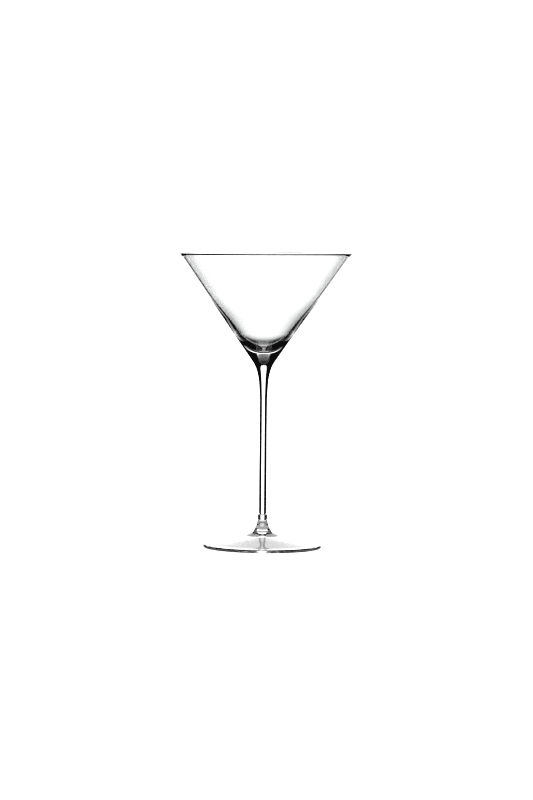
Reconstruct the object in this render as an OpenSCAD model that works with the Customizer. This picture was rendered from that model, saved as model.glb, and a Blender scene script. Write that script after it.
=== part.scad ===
// Martini glass, blown and drawn from clear glass, fused from three gathers:
// a conical bowl with a thick base, a slim solid stem, and a trumpet-necked foot.
// Millimetres, +Z up. The origin is at the centre of the foot, on the table.

/* [Overall] */
// Height from the table to the top of the rim
glass_h = 210; // [200:1:222]
// Outer diameter of the rim
rim_d = 122; // [115:1:130]
// Outer diameter of the foot
foot_d = 84; // [78:1:92]

/* [Bowl] */
// Angle between the bowl's outer wall and the axis
cone_half_angle = 35; // [33.5:0.5:36.5]
// Thickness of the wall just below the rim
wall = 1.8; // [1.5:0.1:2.2]
// Thickness of the wall, measured level, a third of the way up the bowl
low_wall = 3.8; // [3.6:0.1:4.2]
// How much wider the inner cone opens than the outer one in the thick lower part, in degrees
inner_extra = 4; // [3.5:0.5:5.5]
// Depth of solid glass between the bowl's hollow and the joint with the stem
base_t = 12.8; // [11:0.1:14]
// Height above the joint with the stem at which the hollow begins to round in
round_h = 26.5; // [25:0.5:27]

/* [Stem] */
// Diameter of the stem at its middle
stem_d = 5.0; // [4.6:0.1:6]
// Length over which the bowl's cone draws down into the stem
neck_len = 26; // [24:1:32]

/* [Foot] */
// Height of the joint between the stem and the foot's stub
stub_z = 24; // [20:0.5:30]
// Diameter of the stub at its top, a little wider than the stem
stub_d = 6.4; // [6.2:0.1:8]
// Thickness of the foot at its edge
edge_t = 2.3; // [2:0.1:2.5]
// Thickness of the cone between the stub and the edge, measured upright
foot_wall = 1.5; // [1.4:0.1:2.2]
// Width of the flat ring that the foot stands on
ring_w = 3; // [2:0.5:4]

/* [Hidden] */
$fn = 96;

rim_r = rim_d / 2;
foot_r = foot_d / 2;
stem_r = stem_d / 2;
stub_r = stub_d / 2;
a = cone_half_angle;
slope = tan(a);
low_slope = tan(a + inner_extra);

// the rim is a half round of the wall's thickness, tangent to both faces
lip_r = wall / 2;
lip_c = [rim_r - lip_r, glass_h - lip_r];
outer_top = lip_c + lip_r * [cos(a), -sin(a)];
inner_top = lip_c - lip_r * [cos(a), -sin(a)];

// height at which the straight outer cone begins to draw in to the neck
blend_r = 8;
blend_z = outer_top[1] - (outer_top[0] - blend_r) / slope;
join_z = blend_z - 4.5;
neck_z = blend_z - neck_len;

// the neck's outline is one curve, shared by the bowl and the stem
neck = [
    [blend_r, blend_z],
    [blend_r - 8.5 * slope, blend_z - 8.5],
    [stem_r + 0.8, blend_z - 0.8 * neck_len],
    [stem_r, neck_z]
];

// the hollow: a rounded bottom, a thick lower wall, then the even upper wall
cavity_z = join_z + base_t;
third_z = blend_z + (glass_h - blend_z) / 3;
third_r = outer_top[0] - slope * (outer_top[1] - third_z) - low_wall;
low_z = join_z + round_h;
low = [third_r + low_slope * (low_z - third_z), low_z];
// where the lower and upper inner faces would meet
meet_dz = (inner_top[0] - third_r - low_slope * (inner_top[1] - third_z))
    / (low_slope - slope);
meet = [inner_top[0] + slope * meet_dz, inner_top[1] + meet_dz];
soft = 8;

// cubic curve through p[0] and p[3], pulled by p[1] and p[2]
function bez(p, t) =
    pow(1 - t, 3) * p[0] + 3 * pow(1 - t, 2) * t * p[1]
    + 3 * (1 - t) * t * t * p[2] + pow(t, 3) * p[3];

function curve(p, n) = [for (i = [0 : n]) bez(p, i / n)];

// the same points without the first one, to follow on from another curve
function rest(p, n) = [for (i = [1 : n]) bez(p, i / n)];

// value of t where a falling curve passes height z
function t_at(p, z, lo = 0, hi = 1, k = 40) =
    k == 0 ? (lo + hi) / 2
    : let (m = (lo + hi) / 2)
        bez(p, m)[1] > z ? t_at(p, z, m, hi, k - 1) : t_at(p, z, lo, m, k - 1);

function arc(c, r, a0, a1, n) =
    [for (i = [0 : n]) let (q = a0 + (a1 - a0) * i / n) c + r * [cos(q), sin(q)]];

join_t = t_at(neck, join_z);
join_r = bez(neck, join_t)[0];

// the drawn stem: a gentle swell along it, and a small waist where it is fused to the stub
waist_r = stem_r - 0.3;
stem_len = neck_z - stub_z;
slim = [stem_r - 0.05, stub_z + 0.72 * stem_len];
swell = [stem_r + 0.05, stub_z + 0.33 * stem_len];
foot_end = [stem_r, stub_z + 1.4];
stem_tip = [foot_end, foot_end - [0, 0.7], [waist_r, stub_z + 0.6], [waist_r, stub_z]];

function ease(p, q) =
    [p, [p[0], p[1] + (q[1] - p[1]) * 0.4], [q[0], q[1] - (q[1] - p[1]) * 0.4], q];

// outline of the foot's upper side: shoulder, stub, trumpet, flare, cone and thin edge
shoulder = [
    [waist_r, stub_z],
    [waist_r + 0.55 * (stub_r - waist_r), stub_z],
    [stub_r, stub_z - 0.25],
    [stub_r, stub_z - 0.9]
];
trumpet = [
    [stub_r, stub_z - 0.9],
    [stub_r, stub_z * 0.71],
    [stub_r + 1.4, stub_z * 0.59],
    [6.6, 11.4]
];
flare = [
    [6.6, 11.4],
    [7.2, 10.56],
    [8.6, 9.93],
    [12, 8.8]
];
edge_c = [foot_r - edge_t / 2, edge_t / 2];
cone_top = flare[3];
cone_end = [foot_r - 14, 3.5];
cone_run = cone_end - cone_top;
brim = [
    cone_end,
    cone_end + 4 / cone_run[0] * cone_run,
    [foot_r - 7, edge_t + 0.1],
    [edge_c[0], edge_t]
];

// outline of the underside: flat ring, a slight rise, then a hollow that follows the cone
ring_r1 = foot_r - edge_t / 2;
ring_r0 = ring_r1 - ring_w;
under_end = cone_end - [0, foot_wall];
under_top = cone_top - [0, foot_wall];
under_run = under_top - under_end;
rise = [
    [ring_r0, 0],
    [ring_r0 - 3, 0.1],
    under_end + 4 / under_run[0] * under_run,
    under_end
];
crown = [
    under_top,
    under_top - 4 / under_run[0] * under_run,
    [4, under_top[1] + 1.6],
    [0, under_top[1] + 1.6]
];

module bowl() {
    color([0.86, 0.90, 0.91, 0.45])
    rotate_extrude()
    polygon(concat(
        [[0, join_z], [join_r, join_z]],
        [for (i = [1 : 8]) bez(neck, join_t * (1 - i / 8))],
        arc(lip_c, lip_r, -a, 180 - a, 10),
        curve([
            meet + soft * [slope, 1],
            meet + soft * 0.35 * [slope, 1],
            meet - soft * 0.35 * [low_slope, 1],
            meet - soft * [low_slope, 1]
        ], 8),
        curve([
            low,
            low - 2 * [low_slope, 1],
            [9.3, cavity_z],
            [0, cavity_z]
        ], 16)
    ));
}

module stem() {
    color([0.86, 0.90, 0.91, 0.45])
    rotate_extrude()
    polygon(concat(
        [[0, join_z], [join_r, join_z]],
        [for (i = [1 : 18]) bez(neck, join_t + (1 - join_t) * i / 18)],
        rest(ease([stem_r, neck_z], slim), 6),
        rest(ease(slim, swell), 6),
        rest(ease(swell, foot_end), 6),
        rest(stem_tip, 6),
        [[0, stub_z]]
    ));
}

module foot() {
    color([0.86, 0.90, 0.91, 0.45])
    rotate_extrude()
    polygon(concat(
        [[0, stub_z]],
        curve(shoulder, 6),
        rest(trumpet, 14),
        rest(flare, 8),
        curve(brim, 10),
        arc(edge_c, edge_t / 2, 84, -90, 10),
        curve(rise, 8),
        curve(crown, 10)
    ));
}

bowl();
stem();
foot();
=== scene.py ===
import bpy, math
from mathutils import Vector, Matrix


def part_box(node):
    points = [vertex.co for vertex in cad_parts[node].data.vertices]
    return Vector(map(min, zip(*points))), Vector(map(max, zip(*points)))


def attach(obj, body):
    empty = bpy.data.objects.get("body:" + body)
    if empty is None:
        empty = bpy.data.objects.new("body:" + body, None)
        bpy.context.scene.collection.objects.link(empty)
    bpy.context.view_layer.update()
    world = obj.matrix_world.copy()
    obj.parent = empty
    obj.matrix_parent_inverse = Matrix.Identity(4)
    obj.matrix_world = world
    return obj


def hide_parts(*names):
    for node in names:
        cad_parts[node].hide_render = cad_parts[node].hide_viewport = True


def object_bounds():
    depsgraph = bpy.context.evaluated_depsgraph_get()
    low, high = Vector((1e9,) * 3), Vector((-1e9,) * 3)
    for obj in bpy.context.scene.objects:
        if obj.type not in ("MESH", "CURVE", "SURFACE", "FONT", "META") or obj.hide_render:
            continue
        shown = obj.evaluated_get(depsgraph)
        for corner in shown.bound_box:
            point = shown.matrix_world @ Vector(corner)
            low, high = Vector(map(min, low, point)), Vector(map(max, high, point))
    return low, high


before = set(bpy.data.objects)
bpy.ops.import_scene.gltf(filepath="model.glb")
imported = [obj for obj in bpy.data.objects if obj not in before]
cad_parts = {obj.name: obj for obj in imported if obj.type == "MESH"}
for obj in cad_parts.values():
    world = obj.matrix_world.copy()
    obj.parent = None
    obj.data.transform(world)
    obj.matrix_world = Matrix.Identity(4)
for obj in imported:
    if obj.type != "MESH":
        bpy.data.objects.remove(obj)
cad_lo, cad_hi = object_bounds()

# ----------------------------------------------------------------------------
# sizes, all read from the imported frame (metres)
# ----------------------------------------------------------------------------
bowl_lo, bowl_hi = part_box("bowl")
stem_lo, stem_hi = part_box("stem")
foot_lo, foot_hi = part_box("foot")
GLASS_H = bowl_hi.z
RIM_R = max(bowl_hi.x, bowl_hi.y)
JOIN_Z = bowl_lo.z
STUB_Z = stem_lo.z
JOIN_R = max(stem_hi.x, stem_hi.y)
FOOT_R = max(foot_hi.x, foot_hi.y)
MM = 0.001

# ----------------------------------------------------------------------------
# outline of the glass, in (radius, height)
# ----------------------------------------------------------------------------
def v2(a, b):
    return Vector((a, b))


def bez(p, t):
    u = 1 - t
    return u ** 3 * p[0] + 3 * u * u * t * p[1] + 3 * u * t * t * p[2] + t ** 3 * p[3]


def curve(p, n, t0=0.0, t1=1.0):
    return [bez(p, t0 + (t1 - t0) * i / n) for i in range(n + 1)]


def line(a, b, n):
    return [a + (b - a) * (i / n) for i in range(n + 1)]


def arc(c, r, a0, a1, n):
    return [c + r * v2(math.cos(math.radians(a0 + (a1 - a0) * i / n)),
                       math.sin(math.radians(a0 + (a1 - a0) * i / n))) for i in range(n + 1)]


def join(*runs):
    """One list of points from several runs, without the doubled points where they meet."""
    out = []
    for run in runs:
        for p in run:
            if not out or (p - out[-1]).length > 1e-7:
                out.append(p)
    return out


HALF_ANGLE = 35.0
SLOPE = math.tan(math.radians(HALF_ANGLE))
CA, SA = math.cos(math.radians(HALF_ANGLE)), math.sin(math.radians(HALF_ANGLE))
WALL = 1.8 * MM
LOW_WALL = 3.8 * MM
INNER_EXTRA = 4.0
BASE_T = 12.8 * MM
ROUND_H = 26.5 * MM
PULL_1 = 2.0 * MM
PULL_2 = 9.3 * MM
STEM_R = 2.5 * MM
NECK_LEN = 26 * MM
NECK_1 = 8.5 * MM
NECK_2 = 0.8 * MM
NECK_3 = 0.8
STUB_R = 3.2 * MM
BLEND_R = 8.0 * MM

LOW_SLOPE = math.tan(math.radians(HALF_ANGLE + INNER_EXTRA))
LIP = WALL / 2
lip_c = v2(RIM_R - LIP, GLASS_H - LIP)
outer_top = lip_c + LIP * v2(CA, -SA)
inner_top = lip_c - LIP * v2(CA, -SA)
blend_z = outer_top.y - (outer_top.x - BLEND_R) / SLOPE
# the rim is nearly flat on top, with a small fire-polished round at each edge
CORNER = 0.65 * MM


def corner_centre(depth):
    """Centre of a corner round, at this depth below the outer face and one radius under the rim."""
    along = (GLASS_H - CORNER - outer_top.y - depth * SA) / CA
    return outer_top + along * v2(SA, CA) + depth * v2(-CA, SA)


lip = arc(corner_centre(CORNER), CORNER, -HALF_ANGLE, 90, 9) + arc(corner_centre(WALL - CORNER), CORNER, 90, 180 - HALF_ANGLE, 7)
neck_z = blend_z - NECK_LEN
neck = [v2(BLEND_R, blend_z),
        v2(BLEND_R - NECK_1 * SLOPE, blend_z - NECK_1),
        v2(STEM_R + NECK_2, blend_z - NECK_3 * NECK_LEN),
        v2(STEM_R, neck_z)]


def t_at(p, z):
    lo, hi = 0.0, 1.0
    for _ in range(60):
        m = (lo + hi) / 2
        if bez(p, m).y > z:
            lo = m
        else:
            hi = m
    return (lo + hi) / 2


join_t = t_at(neck, JOIN_Z)
# the hollow: rounded bottom, thick lower wall, even upper wall
cavity_z = JOIN_Z + BASE_T
third_z = blend_z + (GLASS_H - blend_z) / 3
third_r = outer_top.x - SLOPE * (outer_top.y - third_z) - LOW_WALL
low_z = JOIN_Z + ROUND_H
low = v2(third_r + LOW_SLOPE * (low_z - third_z), low_z)
meet_dz = (inner_top.x - third_r - LOW_SLOPE * (inner_top.y - third_z)) / (LOW_SLOPE - SLOPE)
meet = v2(inner_top.x + SLOPE * meet_dz, inner_top.y + meet_dz)
SOFT = 8 * MM

neck_join = bez(neck, join_t)
seam_r = neck_join.x

# the bowl, from the middle of its joint face round to the middle of its hollow
bowl_cap = line(v2(0, JOIN_Z), v2(seam_r, JOIN_Z), 5)
bowl_skin = join(
    [v2(seam_r, JOIN_Z)],
    [bez(neck, join_t * (1 - i / 24)) for i in range(1, 25)],
    line(v2(BLEND_R, blend_z), lip[0], 44),
    lip,
    line(lip[-1], meet + SOFT * v2(SLOPE, 1), 14),
    curve([meet + SOFT * v2(SLOPE, 1), meet + SOFT * 0.35 * v2(SLOPE, 1),
           meet - SOFT * 0.35 * v2(LOW_SLOPE, 1), meet - SOFT * v2(LOW_SLOPE, 1)], 24),
    line(meet - SOFT * v2(LOW_SLOPE, 1), low, 10),
    curve([low, low - PULL_1 * v2(LOW_SLOPE, 1), v2(PULL_2, cavity_z), v2(0, cavity_z)], 60),
)

# the stem, from its upper joint face down to its lower one, with a small waist at the foot
WAIST_R = STEM_R - 0.3 * MM
stem_len = neck_z - STUB_Z
slim = v2(STEM_R - 0.05 * MM, STUB_Z + 0.72 * stem_len)
swell = v2(STEM_R + 0.05 * MM, STUB_Z + 0.33 * stem_len)
foot_end = v2(STEM_R, STUB_Z + 1.4 * MM)
stem_end = v2(WAIST_R, STUB_Z)


def ease(p, q):
    return [p, v2(p.x, p.y + (q.y - p.y) * 0.4), v2(q.x, q.y - (q.y - p.y) * 0.4), q]


stem_skin = join(
    [v2(seam_r, JOIN_Z)],
    [bez(neck, join_t + (1 - join_t) * i / 60) for i in range(1, 61)],
    curve(ease(v2(STEM_R, neck_z), slim), 20),
    curve(ease(slim, swell), 20),
    curve(ease(swell, foot_end), 16),
    curve([foot_end, foot_end - v2(0, 0.7 * MM), v2(WAIST_R, STUB_Z + 0.6 * MM), stem_end], 12),
)

# the foot: joint face, shoulder, stub, trumpet, flare, cone, thin edge, standing ring, hollow
EDGE = 2.3 * MM
FOOT_T = 1.5 * MM
shoulder = [v2(WAIST_R, STUB_Z), v2(WAIST_R + 0.55 * (STUB_R - WAIST_R), STUB_Z),
            v2(STUB_R, STUB_Z - 0.25 * MM), v2(STUB_R, STUB_Z - 0.9 * MM)]
trumpet = [v2(STUB_R, STUB_Z - 0.9 * MM), v2(STUB_R, STUB_Z * 0.71),
           v2(STUB_R + 1.4 * MM, STUB_Z * 0.59), v2(6.6 * MM, 11.4 * MM)]
flare = [trumpet[3], v2(7.2 * MM, 10.56 * MM), v2(8.6 * MM, 9.93 * MM), v2(12 * MM, 8.8 * MM)]
edge_c = v2(FOOT_R - EDGE / 2, EDGE / 2)
cone_top = flare[3]
cone_end = v2(FOOT_R - 14 * MM, 3.5 * MM)
cone_run = cone_end - cone_top
brim = [cone_end, cone_end + cone_run * (4 * MM / cone_run.x),
        v2(FOOT_R - 7 * MM, EDGE + 0.1 * MM), v2(edge_c.x, EDGE)]
RING_W = 3 * MM
ring_r1 = FOOT_R - EDGE / 2
ring_r0 = ring_r1 - RING_W
# underside: standing ring, a slight rise, then a hollow that follows the cone above it
under_top = cone_top - v2(0, FOOT_T)
under_end = cone_end - v2(0, FOOT_T)
under_run = under_end - under_top
rise = [v2(ring_r0, 0), v2(ring_r0 - 3 * MM, 0.1 * MM), under_end + under_run * (4 * MM / under_run.x), under_end]
crown = [under_top, under_top - under_run * (4 * MM / under_run.x), v2(4 * MM, under_top.y + 1.6 * MM), v2(0, under_top.y + 1.6 * MM)]
foot_skin = join(
    [v2(WAIST_R, STUB_Z)],
    curve(shoulder, 16),
    curve(trumpet, 50),
    curve(flare, 30),
    line(cone_top, cone_end, 12),
    curve(brim, 30),
    arc(edge_c, EDGE / 2, 84, -90, 24),
    line(v2(ring_r1, 0), v2(ring_r0, 0), 4),
    curve(rise, 24),
    line(under_end, under_top, 10),
    curve(crown, 30),
)


# ----------------------------------------------------------------------------
# hand work: one smooth field of small departures from a true turned shape.
# It moves every piece alike, so the fused joints still meet.
# ----------------------------------------------------------------------------
LEAN = -0.003
BOWL_LEAN = 0.016
BOWL_FOOT = 145 * MM
TILT = 0.006


def hand(x, y, z):
    h = z / GLASS_H
    r = math.hypot(x, y)
    if r < 1e-9:
        th = 0.0
    else:
        th = math.atan2(y, x)
    up = max(0.0, (z - STUB_Z) / (GLASS_H - STUB_Z))
    oval = 1 + 0.0022 * up * math.cos(2 * th + 0.9) + 0.0009 * math.cos(3 * th + 2.1 + 4 * h) * min(1.0, r / (20 * MM))
    dz = 0.12 * MM * up * (r / RIM_R) * math.cos(2 * th + 2.2) + TILT * x * up ** 3
    over = max(0.0, z - BOWL_FOOT)
    lean = LEAN * (z - STUB_Z) * min(1.0, up * 8) + BOWL_LEAN * over * over / (over + 12 * MM)
    return x * oval + lean, y * oval, z + dz


def lathe(name, runs, segments):
    """A turned mesh from runs of outline points. Each run is (points, material index)."""
    verts, rings = [], []
    spans = []
    pts = []
    for run, mat in runs:
        for p in run:
            if not pts or (p - pts[-1]).length > 1e-7:
                if pts:
                    spans.append(mat)
                pts.append(p)
    for p in pts:
        if p.x < 1e-8:
            x, y, z = hand(0, 0, p.y)
            verts.append((0.0, 0.0, z))
            rings.append([len(verts) - 1])
        else:
            ring = []
            for k in range(segments):
                a = 2 * math.pi * k / segments
                verts.append(hand(p.x * math.cos(a), p.x * math.sin(a), p.y))
                ring.append(len(verts) - 1)
            rings.append(ring)
    faces, mats = [], []
    for i in range(len(rings) - 1):
        a, b = rings[i], rings[i + 1]
        for k in range(segments):
            n = (k + 1) % segments
            if len(a) == 1:
                f = (a[0], b[n], b[k])
            elif len(b) == 1:
                f = (a[k], a[n], b[0])
            else:
                f = (a[k], a[n], b[n], b[k])
            faces.append(f)
            mats.append(spans[i])
    me = bpy.data.meshes.new(name)
    me.from_pydata(verts, [], faces)
    me.validate()
    for poly, m in zip(me.polygons, mats):
        poly.material_index = m
        poly.use_smooth = True
    me.update()
    ob = bpy.data.objects.new(name, me)
    bpy.context.scene.collection.objects.link(ob)
    return ob


SEG = 224
glass_bowl = lathe("glass_bowl", [(bowl_cap, 1), (bowl_skin, 0)], SEG)
glass_stem = lathe("glass_stem", [(line(v2(0, JOIN_Z), v2(seam_r, JOIN_Z), 5)[::1], 1), (stem_skin, 0),
                                  (line(v2(stem_end.x, STUB_Z), v2(0, STUB_Z), 3), 1)], SEG)
glass_foot = lathe("glass_foot", [(line(v2(0, STUB_Z), v2(stem_end.x, STUB_Z), 3), 1), (foot_skin, 0)], SEG)


def outward(ob):
    import bmesh
    bm = bmesh.new()
    bm.from_mesh(ob.data)
    bmesh.ops.recalc_face_normals(bm, faces=bm.faces)
    bm.to_mesh(ob.data)
    bm.free()


for ob in (glass_bowl, glass_stem, glass_foot):
    outward(ob)


# ----------------------------------------------------------------------------
# materials
# ----------------------------------------------------------------------------
def glass_material(name, seed, wave_scale, wave_depth):
    m = bpy.data.materials.new(name)
    m.use_nodes = True
    nt = m.node_tree
    bsdf = nt.nodes["Principled BSDF"]
    bsdf.inputs["Base Color"].default_value = (0.992, 0.997, 0.996, 1)
    bsdf.inputs["Transmission Weight"].default_value = 1.0
    bsdf.inputs["IOR"].default_value = 1.52
    bsdf.inputs["Roughness"].default_value = 0.0
    tc = nt.nodes.new("ShaderNodeTexCoord")
    mp = nt.nodes.new("ShaderNodeMapping")
    mp.inputs["Location"].default_value = (seed * 0.37, seed * 0.11, seed * 0.23)
    noise = nt.nodes.new("ShaderNodeTexNoise")
    noise.inputs["Scale"].default_value = wave_scale
    noise.inputs["Detail"].default_value = 1.5
    noise.inputs["Roughness"].default_value = 0.4
    bump = nt.nodes.new("ShaderNodeBump")
    bump.inputs["Strength"].default_value = 1.0
    bump.inputs["Distance"].default_value = wave_depth
    nt.links.new(tc.outputs["Object"], mp.inputs["Vector"])
    nt.links.new(mp.outputs["Vector"], noise.inputs["Vector"])
    nt.links.new(noise.outputs["Fac"], bump.inputs["Height"])
    nt.links.new(bump.outputs["Normal"], bsdf.inputs["Normal"])
    return m


def seam_material():
    m = bpy.data.materials.new("fused_seam")
    m.use_nodes = True
    bsdf = m.node_tree.nodes["Principled BSDF"]
    bsdf.inputs["Base Color"].default_value = (1, 1, 1, 1)
    bsdf.inputs["Alpha"].default_value = 0.0
    bsdf.inputs["Transmission Weight"].default_value = 0.0
    return m


seam = seam_material()
for ob, seed, scale, depth in ((glass_bowl, 1, 60.0, 2e-6), (glass_stem, 2, 90.0, 2e-6), (glass_foot, 3, 90.0, 3e-6)):
    ob.data.materials.append(glass_material(ob.name + "_clear", seed, scale, depth))
    ob.data.materials.append(seam)

for ob, node, slot in ((glass_bowl, "bowl", "bowl_glass"), (glass_stem, "stem", "stem_glass"), (glass_foot, "foot", "foot_glass")):
    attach(ob, "root")
    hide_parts(node)

# ----------------------------------------------------------------------------
# camera
# ----------------------------------------------------------------------------
CAM_DIST = 2.40
CAM_H = 0.242
AIM_Z = 0.1055
AIM_X = 0.0019
ROLL = 0.65
LENS = 151.9
cam_data = bpy.data.cameras.new("camera")
cam_data.lens = LENS
cam_data.sensor_width = 36
cam_data.clip_start, cam_data.clip_end = 0.01, 60
camera = bpy.data.objects.new("camera", cam_data)
bpy.context.scene.collection.objects.link(camera)
camera.location = (AIM_X, -CAM_DIST, CAM_H)
look = (Vector((AIM_X, 0, AIM_Z)) - camera.location).normalized()
q = look.to_track_quat("-Z", "Y")
from mathutils import Quaternion
camera.rotation_mode = "QUATERNION"
camera.rotation_quaternion = q @ Quaternion((0, 0, 1), math.radians(ROLL))
bpy.context.scene.camera = camera


# ----------------------------------------------------------------------------
# set: white floor, white card behind the glass, dark room
# ----------------------------------------------------------------------------
def emission_material(name, colour, strength):
    m = bpy.data.materials.new(name)
    m.use_nodes = True
    nt = m.node_tree
    nt.nodes.clear()
    out = nt.nodes.new("ShaderNodeOutputMaterial")
    em = nt.nodes.new("ShaderNodeEmission")
    em.inputs["Color"].default_value = (*colour, 1)
    em.inputs["Strength"].default_value = strength
    nt.links.new(em.outputs["Emission"], out.inputs["Surface"])
    return m


def quad(name, x0, x1, y0, y1, z, material, parent=None):
    me = bpy.data.meshes.new(name)
    me.from_pydata([(x0, y0, z), (x1, y0, z), (x1, y1, z), (x0, y1, z)], [], [(0, 1, 2, 3)])
    me.materials.append(material)
    ob = bpy.data.objects.new(name, me)
    bpy.context.scene.collection.objects.link(ob)
    if parent is not None:
        ob.parent = parent
    return ob


E_CARD = 1.66
CARD_D = 9.0
CARD_L = 16.3
CARD_R = 18.5
CARD_SOFT = 2.6
# brightness of the card by its height as an angle at the glass (degrees above level, fraction)
CARD_STEPS = [(-58, 0.0), (-45, 0.11), (-35, 0.01), (-25, 0.06), (-15, 0.57), (-10, 0.76), (-5, 0.93), (-1, 1.0), (42, 1.0), (50, 0.6), (59, 0.02)]
SIDE_STEPS = [(-CARD_L - CARD_SOFT, 0.0), (-CARD_L + CARD_SOFT, 1.0), (CARD_R - CARD_SOFT, 1.0), (CARD_R + CARD_SOFT, 0.0)]
card_run = CARD_D - CAM_DIST
view_dip = math.degrees(math.atan((CAM_H - AIM_Z) / CAM_DIST))


def up_y(angle):
    return card_run * math.tan(math.radians(angle + view_dip))


def side_x(angle):
    return card_run * math.tan(math.radians(angle))


def ramp_node(nt, source, stops, top):
    lo, hi = stops[0][0], stops[-1][0]
    span = nt.nodes.new("ShaderNodeMapRange")
    span.inputs["From Min"].default_value = lo
    span.inputs["From Max"].default_value = hi
    ramp = nt.nodes.new("ShaderNodeValToRGB")
    els = ramp.color_ramp.elements
    while len(els) > 1:
        els.remove(els[-1])
    for i, (p, f) in enumerate(stops):
        pos = (p - lo) / (hi - lo)
        e = els[0] if i == 0 else els.new(pos)
        e.position = pos
        e.color = (f * top, f * top, f * top, 1)
    nt.links.new(source, span.inputs["Value"])
    nt.links.new(span.outputs["Result"], ramp.inputs["Fac"])
    return ramp.outputs["Color"]


def card_material():
    m = bpy.data.materials.new("card_white")
    m.use_nodes = True
    nt = m.node_tree
    nt.nodes.clear()
    out = nt.nodes.new("ShaderNodeOutputMaterial")
    em = nt.nodes.new("ShaderNodeEmission")
    tc = nt.nodes.new("ShaderNodeTexCoord")
    sep = nt.nodes.new("ShaderNodeSeparateXYZ")
    nt.links.new(tc.outputs["Object"], sep.inputs[0])
    rise_f = ramp_node(nt, sep.outputs["Y"], [(up_y(p), f) for p, f in CARD_STEPS], E_CARD / 2)
    side_f = ramp_node(nt, sep.outputs["X"], [(side_x(p), f) for p, f in SIDE_STEPS], 1.0)
    mix = nt.nodes.new("ShaderNodeVectorMath")
    mix.operation = "MULTIPLY"
    nt.links.new(rise_f, mix.inputs[0])
    nt.links.new(side_f, mix.inputs[1])
    nt.links.new(mix.outputs["Vector"], em.inputs["Color"])
    em.inputs["Strength"].default_value = 2.0
    nt.links.new(em.outputs["Emission"], out.inputs["Surface"])
    return m


card = quad("card", side_x(SIDE_STEPS[0][0]), side_x(SIDE_STEPS[-1][0]), up_y(CARD_STEPS[0][0]), up_y(CARD_STEPS[-1][0]),
            0.0, card_material(), camera)
card.location = (0, 0, -CARD_D)

# round white table top, lit from its own surface
FLOOR_R = 0.22
FLOOR_Z = cad_lo.z - 0.0003
E_FLOOR = 1.05
me = bpy.data.meshes.new("floor")
n = 128
me.from_pydata([(0, 0, FLOOR_Z)] + [(FLOOR_R * math.cos(2 * math.pi * k / n), FLOOR_R * math.sin(2 * math.pi * k / n), FLOOR_Z) for k in range(n)],
               [], [(0, k + 1, (k + 1) % n + 1) for k in range(n)])
fm = bpy.data.materials.new("floor_white")
fm.use_nodes = True
fb = fm.node_tree.nodes["Principled BSDF"]
fb.inputs["Base Color"].default_value = (0.8, 0.8, 0.8, 1)
fb.inputs["Roughness"].default_value = 0.9
fb.inputs["Specular IOR Level"].default_value = 0.0
fb.inputs["Emission Color"].default_value = (1, 1, 1, 1)
fb.inputs["Emission Strength"].default_value = E_FLOOR
me.materials.append(fm)
floor = bpy.data.objects.new("floor", me)
bpy.context.scene.collection.objects.link(floor)
floor.visible_transmission = False
floor.visible_glossy = False

# a stand-in patch of table under the foot, seen only through and in the glass; it glows darker under the foot with
# painted shadow of the glass, brightening to full white at its edge
E_TABLE = 1.0
# radius and glow: painted shadow at 0.42 under the foot and 0.286 in a ring round it, rising to full white at the edge
PAINTED_SHADOW_STEPS = [(0.0, 0.42), (0.04, 0.42), (0.05, 0.286), (0.062, 0.286), (0.085, 1.0)]
TABLE_R = PAINTED_SHADOW_STEPS[-1][0]
me = bpy.data.meshes.new("painted_shadow_patch")
TZ = FLOOR_Z + 0.0001
me.from_pydata([(0, 0, TZ)] + [(TABLE_R * math.cos(2 * math.pi * k / n), TABLE_R * math.sin(2 * math.pi * k / n), TZ) for k in range(n)],
               [], [(0, k + 1, (k + 1) % n + 1) for k in range(n)])
tm = emission_material("table_painted_shadow", (1, 1, 1), E_TABLE)
nt = tm.node_tree
tc = nt.nodes.new("ShaderNodeTexCoord")
far = nt.nodes.new("ShaderNodeVectorMath")
far.operation = "LENGTH"
nt.links.new(tc.outputs["Object"], far.inputs[0])
# the glow by distance from the middle paints the shadow under the foot
nt.links.new(ramp_node(nt, far.outputs["Value"], PAINTED_SHADOW_STEPS, 1.0), nt.nodes["Emission"].inputs["Color"])
me.materials.append(tm)
patch = bpy.data.objects.new("painted_shadow_patch", me)
bpy.context.scene.collection.objects.link(patch)
patch.visible_camera = False
patch.visible_diffuse = False

world = bpy.data.worlds.new("studio")
world.use_nodes = True
AMBIENT = 0.004
world.node_tree.nodes["Background"].inputs["Color"].default_value = (1, 1, 1, 1)
world.node_tree.nodes["Background"].inputs["Strength"].default_value = AMBIENT
bpy.context.scene.world = world

sc = bpy.context.scene
sc.view_settings.view_transform = "Standard"
sc.view_settings.look = "None"
sc.cycles.max_bounces = 32
sc.cycles.transmission_bounces = 32
sc.cycles.glossy_bounces = 16
sc.cycles.diffuse_bounces = 4
sc.cycles.transparent_max_bounces = 32
sc.cycles.blur_glossy = 0.0
sc.cycles.filter_width = 1.0
